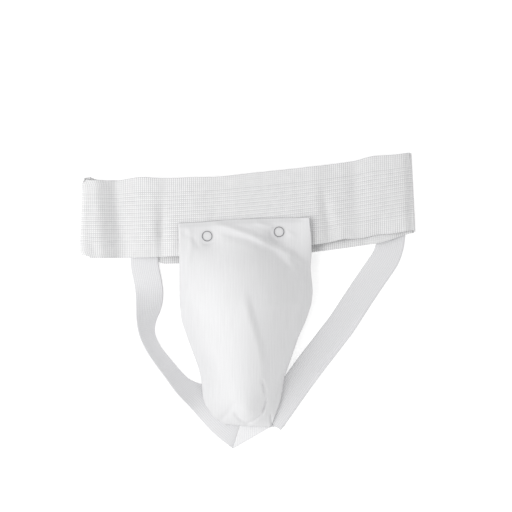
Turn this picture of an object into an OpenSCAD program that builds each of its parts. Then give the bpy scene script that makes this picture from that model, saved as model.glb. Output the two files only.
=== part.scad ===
// Groin guard laid flat with its front up: a wide elastic waistband flattened to two runs,
// a fabric pouch that holds a rigid cup, two press studs on the pouch's top flap, and two
// elastic leg straps. Millimetres, +Z up from the table, +X to the guard's left-hand side
// as it is seen from the front, +Y towards the waist. Origin at the middle of the footprint.

/* [Waistband] */
// Width of the waistband elastic
band_w = 70; // [64:1:74]
// Thickness of the waistband elastic
band_t = 1.8; // [1.4:0.1:1.8]
// Half the length of the flattened loop
band_half = 149.2; // [147:0.2:152]
// Height of the flattened loop above the table
loop_h = 12.2; // [12:0.1:12.4]
// How far the back run hangs lower than the front run
back_drop = 6.5; // [4:0.5:8]

/* [Pouch] */
// Top edge of the pouch, from the origin
pouch_top = 75; // [72:1:78]
// Bottom edge of the pouch, from the origin
pouch_bottom = -110; // [-112:1:-108]
// Largest reach of the pouch to the left, from the origin
pouch_left = 59.3; // [58:0.1:60]
// Largest reach of the pouch to the right, from the origin
pouch_right = 57; // [56:0.1:58]
// Thickness of the pouch's fabric
fabric_t = 1; // [0.8:0.1:1.2]
// Where the top flap parts from the front panel
flap_y = 50; // [48:0.5:52]
// Slope of the pouch up onto the waistband, in degrees
pouch_tilt = 3.4; // [3.3:0.05:3.6]
// Width of the tape that binds the pouch's sides
binding_w = 1.4; // [1:0.1:2]

/* [Cup] */
// Largest half width of the cup
cup_half = 50; // [46:0.5:50]
// From the cup's middle to its top end
cup_up = 50; // [46:0.5:50]
// From the cup's middle to its bottom end
cup_down = 103; // [95:0.5:103]
// Depth of the cup's shell
cup_depth = 46; // [38:0.5:48]
// Wall thickness of the cup's shell
cup_wall = 2.4; // [1.8:0.1:2.6]
// Diameter of the cup's air holes
vent_d = 6; // [4:0.5:7]

/* [Leg straps] */
// Width of the leg straps
strap_w = 25; // [22:0.5:26]
// Thickness of the leg straps
strap_t = 1.4; // [1:0.1:1.4]

/* [Press studs] */
// Outer diameter of the press studs' rings
snap_d = 9.8; // [9:0.1:10.5]
// Diameter of the stud's post
post_d = 3.4; // [3:0.1:3.6]
// Play between the post and the socket, all round
post_play = 0.8; // [0.7:0.05:0.9]

/* [Hidden] */

gap = 0.1;                       // air between sewn layers that lie on each other
pouch_base = 3.4;                // height of the pouch's bottom edge above the table
strap_lift = 1.6;                // what the right strap's end raises the back run by
lift_x = 106;                    // where the back run starts to rise over that end
cup_x = 0;                       // middle of the cup, across
cup_taper = 0.5;                 // how much the cup narrows towards its bottom end
cup_base = 1.3;                  // underside of the cup's rim, above the pouch's slope
pad_h = 2.6;                     // height of the rim pad's outer wall
pad_floor = 1.3;                 // how far the shell's edge sits above the pad's underside
pad_wall = 0.45;                 // pad outside the shell's edge
pad_lip = 3.4;                   // how far the pad reaches in under the shell
panel_base = 1.2;                // underside of the front panel's flat margin
panel_play = 1.5;                // air between the cup's shell and the front panel
panel_room = 2.6;                // how much deeper the panel's bulge is than the cup
dome_power = 1.24;               // fullness of the bulge: larger is more pointed
corner_power = 10;               // squareness of the pouch's top corners
spokes = 48;                     // points round the bulge
rings = 10;                      // rings from the bulge's middle to its foot
seam_spoke = -78;                // direction of the centre seam from the cup's middle
seam_w = 2;                      // width of the sewn centre seam
seam_t = 0.8;                    // how far the centre seam stands up
binding_play = 0.3;              // air between the pouch's edge and its tape
vent_pitch = [14, 16];           // spacing of the air holes, across and down
tack_w = strap_w - 4;            // length of the bar tacks on the straps' ends
tack_l = 6;                      // height of those bar tacks
tail_t = 1.4;                    // thickness of the folded end under the pouch
thread_t = 0.4;                  // height of a sewn row above the fabric
hem_h = 6;                       // width of the fold under the flap's top edge
snap_left = [-35.7, 58.6];
snap_right = [28.2, 62.4];
$fn = 48;

// Middle line of the waistband's front run, seen from above
function band_mid(x) = 79.4 + 0.085 * x + 0.0003 * x * x;

// Outline of a run of the waistband, dropped by d
function band_outline(d) = let (n = 20, step = 2 * band_half / n) concat(
    [for (i = [0:n]) let (x = -band_half + i * step) [x, band_mid(x) - d - band_w / 2]],
    [for (i = [n:-1:0]) let (x = -band_half + i * step) [x, band_mid(x) - d + band_w / 2]]
);

// Reach of the pouch at y, to the left (side -1) or to the right (side 1); it tapers more on the
// right, where it lies close to the cup
function pouch_w(y, side) = side < 0
    ? pouch_left * lookup(y, [
        [-110, 0.34], [-104, 0.47], [-92, 0.61], [-84, 0.65], [-71, 0.67], [-58, 0.73],
        [-45, 0.81], [-31, 0.89], [-17, 0.97], [0, 1]])
    : pouch_right * lookup(y, [
        [-110, 0.37], [-102, 0.44], [-90, 0.51], [-80, 0.55], [-68, 0.59], [-58, 0.65],
        [-46, 0.72], [-32, 0.81], [-17, 0.91], [0, 1]]);

// Point of the pouch's outline in direction a, nearly square at the top
function pouch_point(a) = let (s = sin(a), c = cos(a), side = sign(c))
    s >= 0
    ? [c, s] / pow(
        pow(abs(c) / pouch_w(0, side), corner_power) + pow(s / pouch_top, corner_power), 1 / corner_power)
    : let (y = pouch_bottom * min(1, -s / 0.95)) [pouch_w(y, side) * min(1, abs(c) * 3.5) * side, y];

// Point of the cup's outline in direction a, grown by g: round above, tapered below
function cup_point(a, g) = let (s = sin(a), c = cos(a), t = -s)
    s >= 0
    ? [(cup_half + g) * c, (cup_up + g) * s]
    : [(cup_half + g) * sign(c) * (1 - cup_taper * t) * sqrt(max(0, 1 - pow(t, 4))),
        (cup_down + g) * s];

function angle_of(k) = 360 * (k + 0.5) / spokes;
function cup_outline(g) = [for (k = [0:spokes - 1]) cup_point(angle_of(k), g) + [cup_x, 0]];
function pouch_outline() = [for (k = [0:spokes - 1]) pouch_point(angle_of(k))];

// Points of a bulge over the cup's outline, grown by g, h deep above base, foot first
function dome_points(g, h, base) = [
    for (i = [rings:-1:1]) let (r = sin(90 * i / rings), z = base + h * pow(cos(90 * i / rings), dome_power))
        for (k = [0:spokes - 1]) let (p = cup_point(angle_of(k), g) * r) [p[0] + cup_x, p[1], z]
];

// Two triangles for the four-cornered patch a, b, c, d
function patch(a, b, c, d) = [[a, b, c], [a, c, d]];

// Triangles between each ring of n points and the next, from index first
function ring_faces(first, n, rows) = [
    for (i = [0:rows - 2]) for (k = [0:n - 1])
        let (m = (k + 1) % n, low = first + i * n, high = low + n)
            each patch(low + k, high + k, high + m, low + m)
];
function flipped(faces) = [for (f = faces) [for (i = [len(f) - 1:-1:0]) f[i]]];

// Shell between two surfaces of the same rows; each row is a closed ring of n points
module ring_shell(outer, inner, n) {
    rows = len(outer) / n;
    total = len(outer);
    crown = [for (k = [0:n - 1]) total - n + k];
    rim = [for (k = [0:n - 1]) let (m = (k + 1) % n) each patch(k, m, total + m, total + k)];
    tips = [for (surface = [outer, inner]) [cup_x, 0, surface[total - 1][2] + 0.01]];
    points = concat(outer, inner, tips);
    top = 2 * total;
    faces = concat(
        ring_faces(0, n, rows),
        [for (k = [0:n - 1]) [crown[k], top, crown[(k + 1) % n]]],
        flipped(ring_faces(total, n, rows)),
        [for (k = [0:n - 1]) [crown[(k + 1) % n] + total, top + 1, crown[k] + total]],
        rim
    );
    polyhedron(points = points, faces = faces, convexity = 6);
}

// Solid through a list of four-cornered sections
module ribbon(sections) {
    last = len(sections) - 1;
    faces = concat(
        [[3, 2, 1, 0]],
        [for (i = [0:last - 1]) for (k = [0:3]) let (m = (k + 1) % 4)
            each patch(4 * i + k, 4 * i + m, 4 * i + 4 + m, 4 * i + 4 + k)],
        [[4 * last, 4 * last + 1, 4 * last + 2, 4 * last + 3]]
    );
    polyhedron(points = [for (s = sections) for (p = s) p], faces = faces, convexity = 6);
}

// Sections of a strap along its outer edge. Each route point is [x, y, z, roll]: z is the height of
// the lower edge, and roll lifts the outer one. side is 1 where the strap lies to the left of its
// run, -1 where it lies to the right
function strap_sections(route, side) = [
    for (i = [0:len(route) - 1])
        let (
            a = route[max(0, i - 1)],
            b = route[min(len(route) - 1, i + 1)],
            t = [b[0] - a[0], b[1] - a[1]] / norm([b[0] - a[0], b[1] - a[1]]),
            n = [-t[1], t[0], 0] * side,
            roll = route[i][3],
            edge = [route[i][0], route[i][1], route[i][2] + strap_w * sin(roll)],
            across = (n * cos(roll) - [0, 0, sin(roll)]) * strap_w,
            up = ([0, 0, cos(roll)] + n * sin(roll)) * strap_t
        )
        side > 0 ? [edge, edge + across, edge + across + up, edge + up]
                 : [edge + across, edge, edge + up, edge + across + up]
];

// The left strap turns nearly on edge halfway down and flattens again before the pouch
left_route = [
    [-105, 58, 2, 0], [-105, 44, 2, 0], [-105, 30, 2, 0], [-103, 22, 0.8, 0], [-101, 12, 0.1, 0],
    [-99.5, -2, 0.1, 22], [-99, -17, 0.1, 48], [-96, -31, 0.1, 63], [-89, -45, 0.1, 66],
    [-80, -58, 0.1, 60], [-73, -67, 0.1, 54], [-67, -76, 0.1, 48], [-60, -85, 0.1, 38],
    [-53, -93, 0.3, 19], [-45, -103, 1.2, 3], [-36, -113, 1.6, 0], [-27, -122, 1.6, 0]
];
right_route = [
    [142, 76, 0.1, 0], [142, 60, 0.1, 0], [141, 48, 0.1, 0], [136, 33, 0.1, 0], [122, 13, 0.1, 0],
    [108, -8, 0.1, 0], [95, -28, 0.1, 0], [82, -45, 0.1, 0], [65, -67, 0.1, 0], [50, -88, 0.8, 0],
    [38, -105, 1.6, 0], [30, -116, 1.6, 0]
];

// Places a child on the slope that the pouch lies on
module on_slope() {
    translate([0, pouch_bottom, pouch_base]) rotate([pouch_tilt, 0, 0]) translate([0, -pouch_bottom, 0]) children();
}

// Cross-section of the flattened loop, seen along the guard's length: the back run steps up
// over the end of the right strap
module loop_section(inset) {
    left_r = loop_h / 2;
    right_r = (loop_h - strap_lift) / 2;
    left_x = -band_half + left_r;
    right_x = band_half - right_r;
    polygon([
        [left_x, inset], [lift_x, inset], [lift_x + 6, strap_lift + inset], [right_x, strap_lift + inset],
        [right_x, loop_h - inset], [left_x, loop_h - inset]
    ]);
    translate([left_x, left_r]) circle(r = left_r - inset);
    translate([right_x, strap_lift + right_r]) circle(r = right_r - inset);
}

module waistband() {
    color([0.93, 0.93, 0.93]) difference() {
        intersection() {
            rotate([90, 0, 0]) linear_extrude(height = 400, center = true) difference() {
                loop_section(0);
                loop_section(band_t);
            }
            union() {
                linear_extrude(height = loop_h / 2) polygon(band_outline(back_drop));
                translate([0, 0, loop_h / 2]) linear_extrude(height = loop_h / 2 + 1) polygon(band_outline(0));
            }
        }
        for (p = [snap_left, snap_right])
            translate([p[0], p[1], loop_h - band_t - 1]) cylinder(d = post_d - 0.8, h = 4);
    }
}

// Zigzag row that joins the elastic's two ends at the middle of the back run
module waistband_lap_stitch() {
    y = band_mid(0) - back_drop;
    color([0.86, 0.86, 0.86]) for (x = [-9, 9])
        translate([x - 1.5, y - band_w / 2 + 3, band_t + gap / 2]) cube([3, band_w - 6, thread_t - gap]);
}

module leg_strap_left() {
    color([0.9, 0.9, 0.9]) ribbon(strap_sections(left_route, 1));
}

module leg_strap_right() {
    color([0.9, 0.9, 0.9]) ribbon(strap_sections(right_route, -1));
}

// Bar tacks that hold the straps' top ends to the waistband
module strap_tack_left() {
    color([0.84, 0.84, 0.84]) translate([left_route[0][0] + 2, 48, left_route[0][2] + strap_t + gap])
        cube([tack_w, tack_l, thread_t]);
}

module strap_tack_right() {
    color([0.84, 0.84, 0.84]) translate([right_route[0][0] - strap_w + 2, 60, strap_lift + band_t + gap])
        cube([tack_w, tack_l, thread_t]);
}

// Folded end of the straps' elastic, sewn under the pouch's bottom edge
module tail_gusset() {
    color([0.88, 0.88, 0.88]) linear_extrude(height = tail_t)
        polygon([[-30, -98], [-37, -111], [-25, -124], [-13, -133.6], [20, -113.5], [38, -113.5], [34, -98]]);
}

module tail_tack() {
    color([0.84, 0.84, 0.84]) translate([-6, -116, tail_t + gap]) cube([20, 4, thread_t]);
}

module pouch_back_panel() {
    color([0.92, 0.92, 0.92]) on_slope() linear_extrude(height = fabric_t) intersection() {
        polygon(pouch_outline());
        polygon([[-80, -120], [80, -120], [80, 58], [-80, 46]]);
    }
}

// The whole front of the pouch: a bulge over the cup with a flat margin to the pouch's outline
module front_fabric() {
    margin = pouch_outline();
    outer = concat(
        [for (p = margin) [p[0], p[1], panel_base + fabric_t]],
        dome_points(panel_play + fabric_t, cup_depth + panel_room + fabric_t, panel_base + fabric_t)
    );
    inner = concat(
        [for (p = margin) [p[0], p[1], panel_base]],
        dome_points(panel_play, cup_depth + panel_room, panel_base)
    );
    ring_shell(outer, inner, spokes);
}

module pouch_front_panel() {
    color([0.95, 0.95, 0.95]) on_slope() difference() {
        front_fabric();
        translate([-100, flap_y - gap, -10]) cube([200, 100, 100]);
    }
}

module pouch_flap() {
    color([0.95, 0.95, 0.95]) on_slope() intersection() {
        front_fabric();
        translate([-100, flap_y + gap, -10]) cube([200, 100, 100]);
    }
}

// Folded edge under the top of the flap
module flap_hem() {
    color([0.93, 0.93, 0.93]) on_slope() translate([-51, pouch_top - hem_h - 2, 0.3])
        cube([100, hem_h, panel_base - 0.35]);
}

// Points of the outline down one side of the pouch, below the waistband, moved out by d
function side_line(side, d) = [
    for (i = [0:spokes / 2 - 1])
        let (k = side > 0 ? (5 * spokes / 4 - 1 - i) % spokes : spokes / 4 + i, p = pouch_point(angle_of(k)))
            if (p[1] < flap_y && p[1] > pouch_bottom + 3) [p[0] + side * d, p[1]]
];

module side_binding(side) {
    near = side_line(side, binding_play);
    far = side_line(side, binding_play + binding_w);
    color([0.9, 0.9, 0.9]) on_slope() linear_extrude(height = panel_base + fabric_t)
        polygon(concat(near, [for (i = [len(far) - 1:-1:0]) far[i]]));
}
module side_binding_left() side_binding(-1);
module side_binding_right() side_binding(1);

module bottom_binding() {
    half = pouch_w(pouch_bottom, -1) - 2;
    color([0.9, 0.9, 0.9]) on_slope() translate([-half, pouch_bottom - 1.6, 0])
        cube([2 * half, binding_w, panel_base + fabric_t]);
}

// Raised seam down the middle of the bulge, from below its crown to its foot
module centre_seam() {
    function seam_at(a, up) = let (
        foot = cup_point(seam_spoke, panel_play + fabric_t + up),
        depth = cup_depth + panel_room + fabric_t + up
    ) [foot[0] * sin(a), foot[1] * sin(a), panel_base + fabric_t + depth * pow(cos(a), dome_power)];
    color([0.85, 0.85, 0.85]) on_slope() translate([cup_x, 0, 0]) ribbon([
        for (a = [34:4:82]) let (low = seam_at(a, 0.5), high = seam_at(a, 0.5 + seam_t))
            [low, high, high + [seam_w, 0, 0], low + [seam_w, 0, 0]]
    ]);
}

// Row of stitches that holds the back panel to the waistband
module pouch_band_stitch() {
    color([0.84, 0.84, 0.84]) on_slope() linear_extrude(height = panel_base - 0.05) difference() {
        polygon([[-50, 50.2], [50, 58.2], [50, 56.4], [-50, 48.4]] + [for (i = [0:3]) [0, 1.2]]);
        polygon([[-80, -120], [80, -120], [80, 58.2], [-80, 46.2]]);
    }
}

// Rows of air holes over the cup's crown
module vents() {
    for (row = [-2:2]) for (col = [-1:1])
        translate([cup_x + col * vent_pitch[0] + (row % 2) * 3, (row - 0.5) * vent_pitch[1], 0])
            cylinder(d = vent_d, h = 100, $fn = 20);
}

module cup_shell() {
    base = cup_base + pad_floor + gap / 2;
    color([0.97, 0.97, 0.97]) on_slope() difference() {
        ring_shell(dome_points(0, cup_depth, base), dome_points(-cup_wall, cup_depth - cup_wall, base), spokes);
        vents();
    }
}

// Soft edge that the cup's shell is pressed into
module cup_rim_pad() {
    color([0.8, 0.8, 0.8]) on_slope() translate([0, 0, cup_base]) difference() {
        linear_extrude(height = pad_h) polygon(cup_outline(pad_wall));
        translate([0, 0, -1]) linear_extrude(height = pad_h + 2) polygon(cup_outline(-pad_lip));
        translate([0, 0, pad_floor]) linear_extrude(height = pad_h) polygon(cup_outline(gap));
    }
}

// Thin round wire ring on the outside of the flap
module snap_ring(p) {
    color([0.35, 0.35, 0.36]) on_slope() translate([p[0], p[1], panel_base + fabric_t + 0.45])
        rotate_extrude() translate([snap_d / 2 - 0.5, 0]) circle(r = 0.42, $fn = 16);
}
module snap_ring_left() snap_ring(snap_left);
module snap_ring_right() snap_ring(snap_right);

// Socket under the flap, open towards the waistband
module snap_socket(p) {
    color([0.6, 0.6, 0.62]) on_slope() translate([p[0], p[1], -0.1]) difference() {
        cylinder(d = snap_d - 0.6, h = panel_base + 0.05);
        translate([0, 0, -1]) cylinder(d = post_d + 2 * post_play, h = 4);
    }
}
module snap_socket_left() snap_socket(snap_left);
module snap_socket_right() snap_socket(snap_right);

// Stud on the front of the waistband: flange, post and a rivet stem through the elastic
module snap_stud(p) {
    color([0.6, 0.6, 0.62]) translate([p[0], p[1], loop_h]) {
        cylinder(d = snap_d - 1, h = 0.6);
        cylinder(d = post_d, h = 2.1);
        translate([0, 0, -band_t]) cylinder(d = post_d - 1.1, h = band_t);
    }
}
module snap_stud_left() snap_stud(snap_left);
module snap_stud_right() snap_stud(snap_right);

// Backing disc behind the elastic, under the stud's stem
module snap_backing(p) {
    color([0.6, 0.6, 0.62]) translate([p[0], p[1], loop_h - band_t - 0.55]) cylinder(d = snap_d - 1, h = 0.5);
}
module snap_backing_left() snap_backing(snap_left);
module snap_backing_right() snap_backing(snap_right);

waistband();
waistband_lap_stitch();
leg_strap_left();
leg_strap_right();
strap_tack_left();
strap_tack_right();
tail_gusset();
tail_tack();
pouch_back_panel();
pouch_front_panel();
pouch_flap();
flap_hem();
side_binding_left();
side_binding_right();
bottom_binding();
centre_seam();
pouch_band_stitch();
cup_shell();
cup_rim_pad();
snap_ring_left();
snap_ring_right();
snap_socket_left();
snap_socket_right();
snap_stud_left();
snap_stud_right();
snap_backing_left();
snap_backing_right();
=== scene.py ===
import math

import bmesh
import bpy
import numpy as np
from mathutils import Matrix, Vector


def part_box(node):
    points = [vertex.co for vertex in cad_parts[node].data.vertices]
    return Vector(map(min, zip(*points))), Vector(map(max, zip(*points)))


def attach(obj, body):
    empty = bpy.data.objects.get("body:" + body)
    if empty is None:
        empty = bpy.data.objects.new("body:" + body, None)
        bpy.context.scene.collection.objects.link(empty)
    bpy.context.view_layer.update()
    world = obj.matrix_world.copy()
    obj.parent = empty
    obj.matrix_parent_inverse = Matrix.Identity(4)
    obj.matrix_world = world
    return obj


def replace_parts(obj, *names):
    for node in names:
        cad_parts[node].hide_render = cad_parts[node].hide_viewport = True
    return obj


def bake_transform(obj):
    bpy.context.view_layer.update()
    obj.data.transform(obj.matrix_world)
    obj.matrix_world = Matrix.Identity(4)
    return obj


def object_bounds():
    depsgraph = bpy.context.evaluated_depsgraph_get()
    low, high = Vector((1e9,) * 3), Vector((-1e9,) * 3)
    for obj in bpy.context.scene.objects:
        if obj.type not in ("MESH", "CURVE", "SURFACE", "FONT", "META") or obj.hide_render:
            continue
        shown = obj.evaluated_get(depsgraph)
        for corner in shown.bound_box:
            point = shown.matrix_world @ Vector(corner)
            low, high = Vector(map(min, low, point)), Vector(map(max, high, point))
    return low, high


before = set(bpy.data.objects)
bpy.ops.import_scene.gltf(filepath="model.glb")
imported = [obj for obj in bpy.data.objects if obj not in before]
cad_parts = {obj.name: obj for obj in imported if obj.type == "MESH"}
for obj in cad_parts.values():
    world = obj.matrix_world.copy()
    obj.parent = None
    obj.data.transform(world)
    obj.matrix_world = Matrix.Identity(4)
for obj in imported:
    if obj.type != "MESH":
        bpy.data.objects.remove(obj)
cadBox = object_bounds()
scene = bpy.context.scene
print("frame loaded")


# lengths in this file are millimetres, and makeMesh turns them into metres

def boxOf(node):
    low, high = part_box(node)
    return np.array(low) * 1000, np.array(high) * 1000


def linearColour(hexText):
    parts = [int(hexText[i:i + 2], 16) / 255 for i in (1, 3, 5)]
    return [c / 12.92 if c <= 0.04045 else ((c + 0.055) / 1.055) ** 2.4 for c in parts] + [1]


def addNode(tree, kind, inputs=None, outputs=None, **settings):
    node = tree.nodes.new(kind)
    for name, value in settings.items():
        setattr(node, name, value)
    for key, value in (inputs or {}).items():
        if isinstance(value, bpy.types.NodeSocket):
            tree.links.new(value, node.inputs[key])
        else:
            node.inputs[key].default_value = value
    for key, socket in (outputs or {}).items():
        tree.links.new(node.outputs[key], socket)
    return node


def newMaterial(name, colour, **sockets):
    material = bpy.data.materials.new(name)
    material.use_nodes = True
    tree = material.node_tree
    shader = tree.nodes["Principled BSDF"]
    shader.inputs["Base Color"].default_value = linearColour(colour)
    for key, value in sockets.items():
        shader.inputs[key.replace("_", " ")].default_value = value
    return material, tree, shader


def newCloth(name, colour, **sockets):
    # a material with the two directions of its cloth, in metres
    material, tree, shader = newMaterial(name, colour, **sockets)
    uv = addNode(tree, "ShaderNodeUVMap").outputs[0]
    split = addNode(tree, "ShaderNodeSeparateXYZ", {0: uv})
    return material, tree, shader, uv, split.outputs[0], split.outputs[1]


def ripple(tree, along, pitch, low=0.0, high=1.0):
    # a smooth wave from low to high along one coordinate, pitch in millimetres
    phase = addNode(tree, "ShaderNodeMath", {0: along, 1: 2000 * math.pi / pitch}, operation="MULTIPLY")
    wave = addNode(tree, "ShaderNodeMath", {0: phase.outputs[0]}, operation="SINE")
    return addNode(tree, "ShaderNodeMapRange", {
        "Value": wave.outputs[0], "From Min": -1.0, "From Max": 1.0, "To Min": low, "To Max": high,
    }).outputs[0]


def showPattern(tree, shader, pattern, first, second, relief, strength):
    # one pattern gives both the colour, from first to second, and the height, its relief in millimetres
    addNode(tree, "ShaderNodeMix", {0: pattern, 6: linearColour(first), 7: linearColour(second)},
            {2: shader.inputs["Base Color"]}, data_type="RGBA")
    addNode(tree, "ShaderNodeBump", {"Height": pattern, "Distance": relief * 0.001, "Strength": strength},
            {0: shader.inputs["Normal"]})


# knitted-in rubber elastic, white polyester over the rubber: corded edges, and rows of short floats
# between them. The eye gets a ribbed border and dotted dark rows
bandWeave = {"ribPitch": 1.8, "rowPitch": 3.5, "edgeFrom": 22.5, "edgeTo": 23.8,
             "cordShade": 0.82, "floatShade": 0.66, "rowShade": 0.18, "yarnSize": 6.25, "relief": 0.4,
             "light": "#fafafa", "dark": "#86868a"}


def wovenElastic():
    d = bandWeave
    material, tree, shader, uv, along, across = newCloth(
        "wovenElastic", d["light"], Roughness=0.8, Sheen_Weight=0.15, Sheen_Roughness=0.4)
    rib = ripple(tree, along, d["ribPitch"])
    row = ripple(tree, across, d["rowPitch"])
    fine = ripple(tree, across, d["rowPitch"] / 2)
    picks = ripple(tree, across, d["rowPitch"] / 2, 0.5, 1.0)
    fromMiddle = addNode(tree, "ShaderNodeMath", {0: across}, operation="ABSOLUTE")
    middle = addNode(tree, "ShaderNodeMapRange", {
        "Value": fromMiddle.outputs[0], "From Min": d["edgeFrom"] / 1000, "From Max": d["edgeTo"] / 1000,
        "To Min": 1.0, "To Max": 0.0})
    ribbed = addNode(tree, "ShaderNodeMath", {0: rib, 1: picks}, operation="MULTIPLY")
    cord = addNode(tree, "ShaderNodeMapRange", {
        "Value": ribbed.outputs[0], "To Min": d["cordShade"], "To Max": 0.0})
    dots = addNode(tree, "ShaderNodeMath", {0: rib, 1: fine}, operation="MULTIPLY")
    ground = addNode(tree, "ShaderNodeMapRange", {
        "Value": dots.outputs[0], "From Min": 0.05, "From Max": 0.6,
        "To Min": d["floatShade"], "To Max": 0.0})
    floats = addNode(tree, "ShaderNodeMath", {
        0: row, 1: d["rowShade"], 2: ground.outputs[0]}, operation="MULTIPLY_ADD")
    tone = addNode(tree, "ShaderNodeMix", {0: middle.outputs[0], 2: cord.outputs[0], 3: floats.outputs[0]})
    yarn = addNode(tree, "ShaderNodeTexNoise", {"Vector": uv, "Scale": 1000 / d["yarnSize"], "Detail": 3.0})
    uneven = addNode(tree, "ShaderNodeMapRange", {"Value": yarn.outputs[0], "To Min": 0.35, "To Max": 0.65})
    shade = addNode(tree, "ShaderNodeMath", {0: tone.outputs[0], 1: uneven.outputs[0]}, operation="MULTIPLY")
    addNode(tree, "ShaderNodeMix", {
        0: shade.outputs[0], 6: linearColour(d["light"]), 7: linearColour(d["dark"])},
        {2: shader.inputs["Base Color"]}, data_type="RGBA")
    height = addNode(tree, "ShaderNodeMath", {0: 1.0, 1: tone.outputs[0]}, operation="SUBTRACT")
    addNode(tree, "ShaderNodeBump", {
        "Height": height.outputs[0], "Distance": d["relief"] * 0.001, "Strength": 0.6},
        {0: shader.inputs["Normal"]})
    return material


# warp-knitted polyester, brushed soft. Fine lines run down it, with a faint lighter and darker grain.
# Its wales are drawn coarser than their 0.8 mm, and a streak is 1.1 mm wide and 22 mm long
pouchKnitLook = {"wale": 1.3, "streaks": (900.0, 45.0, 1.0), "relief": 0.12,
                 "light": "#eaeaeb", "dark": "#dededf"}


def warpKnit():
    d = pouchKnitLook
    material, tree, shader, uv, along, _ = newCloth(
        "warpKnitPolyester", d["light"], Roughness=0.9, Sheen_Weight=0.25, Sheen_Roughness=0.5)
    wale = ripple(tree, along, d["wale"])
    drawn = addNode(tree, "ShaderNodeMapping", {"Vector": uv, "Scale": d["streaks"]})
    streak = addNode(tree, "ShaderNodeTexNoise", {"Vector": drawn.outputs[0], "Scale": 1.0, "Detail": 3.0})
    grain = addNode(tree, "ShaderNodeMath", {0: wale, 1: 0.3, 2: streak.outputs[0]}, operation="MULTIPLY_ADD")
    showPattern(tree, shader, grain.outputs[0], d["light"], d["dark"], d["relief"], 0.5)
    return material


# narrow knitted elastic: round cords of rubber under polyester run along it. A lighter copy of it
# paints light onto the folded ends under the pouch
strapLook = {"cord": 1.7, "pick": 1.8, "relief": 0.28, "light": "#ededee", "dark": "#dfdfe1",
             "paintedLitLight": "#fbfbfb", "paintedLitDark": "#ececee"}


def cordedElastic(name, light, dark):
    material, tree, shader, _, along, across = newCloth(
        name, light, Roughness=0.75, Sheen_Weight=0.15, Sheen_Roughness=0.4)
    cord = ripple(tree, across, strapLook["cord"])
    pick = ripple(tree, along, strapLook["pick"], 0.55, 1.0)
    raised = addNode(tree, "ShaderNodeMath", {0: cord, 1: pick}, operation="MULTIPLY")
    showPattern(tree, shader, raised.outputs[0], dark, light, strapLook["relief"], 0.5)
    return material


# thin brushed tricot: an even, slightly fuzzy white with a very small grid of loops
tricotLook = {"loopWide": 1.6, "loopLong": 2.0, "relief": 0.2, "base": "#e6e6e6",
              "hollow": "#d9d9da", "loop": "#eeeeee"}


def brushedTricot():
    d = tricotLook
    material, tree, shader, _, along, across = newCloth(
        "brushedTricot", d["base"], Roughness=0.95, Sheen_Weight=0.35, Sheen_Roughness=0.6)
    loops = addNode(tree, "ShaderNodeMath", {
        0: ripple(tree, along, d["loopWide"]), 1: ripple(tree, across, d["loopLong"])}, operation="MULTIPLY")
    showPattern(tree, shader, loops.outputs[0], d["hollow"], d["loop"], d["relief"], 0.5)
    return material


# polyester twill tape, folded round an edge: slanting ridges close together. And spun polyester
# thread: matt white with the twist of its plies
tapeLook = {"ridge": 1.1, "relief": 0.2, "strength": 0.6, "base": "#ececec", "groove": "#cfcfd1",
            "crest": "#f0f0f0", "rough": 0.8}
threadLook = {"ridge": 0.7, "relief": 0.08, "strength": 0.5, "base": "#e4e4e6", "groove": "#c9c9cc",
              "crest": "#ececee", "rough": 0.7}


def slantedPolyester(name, d):
    material, tree, shader, _, along, across = newCloth(
        name, d["base"], Roughness=d["rough"], Sheen_Weight=0.1)
    slant = addNode(tree, "ShaderNodeMath", {0: along, 1: across}, operation="ADD")
    ridge = ripple(tree, slant.outputs[0], d["ridge"])
    showPattern(tree, shader, ridge, d["groove"], d["crest"], d["relief"], d["strength"])
    return material


# injection-moulded polyethylene: milky white, half matt, with the faint mottle of the mould, 1 mm wide
plasticLook = {"mottle": 900.0, "relief": 0.05, "base": "#f0f0ec", "dark": "#ecece6", "light": "#f4f4f1"}


def mouldedPolyethylene():
    d = plasticLook
    material, tree, shader = newMaterial("mouldedPolyethylene", d["base"], Roughness=0.42, IOR=1.51,
                                         Subsurface_Weight=0.15, Subsurface_Scale=0.002)
    place = addNode(tree, "ShaderNodeTexCoord")
    mottle = addNode(tree, "ShaderNodeTexNoise", {
        "Vector": place.outputs["Object"], "Scale": d["mottle"], "Detail": 4.0})
    addNode(tree, "ShaderNodeMapRange", {
        "Value": mottle.outputs[0], "From Min": 0.3, "From Max": 0.7, "To Min": 0.36, "To Max": 0.5},
        {0: shader.inputs["Roughness"]})
    showPattern(tree, shader, mottle.outputs[0], d["dark"], d["light"], d["relief"], 0.4)
    return material


# moulded thermoplastic rubber: dull light grey, a touch uneven, with pores of 0.7 mm
rubberLook = {"pores": 1400.0, "relief": 0.08, "base": "#c8c8c6", "dark": "#bdbdba", "light": "#d2d2d0"}


def mouldedRubber():
    d = rubberLook
    material, tree, shader = newMaterial("mouldedRubber", d["base"], Roughness=0.7, IOR=1.5)
    place = addNode(tree, "ShaderNodeTexCoord")
    pores = addNode(tree, "ShaderNodeTexNoise", {
        "Vector": place.outputs["Object"], "Scale": d["pores"], "Detail": 5.0})
    showPattern(tree, shader, pores.outputs[0], d["dark"], d["light"], d["relief"], 0.5)
    return material


# nickel-plated brass, pressed and tumbled: soft bright metal with fine random scratches 0.5 mm apart.
# The rings on the flap take a darker copy of the same metal, painted shade for how dark they look
nickelLook = {"scratches": 2200.0, "relief": 0.01, "colour": "#b4b2ae", "rough": 0.3,
              "darkColour": "#7c7c80", "darkRough": 0.35}


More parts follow.
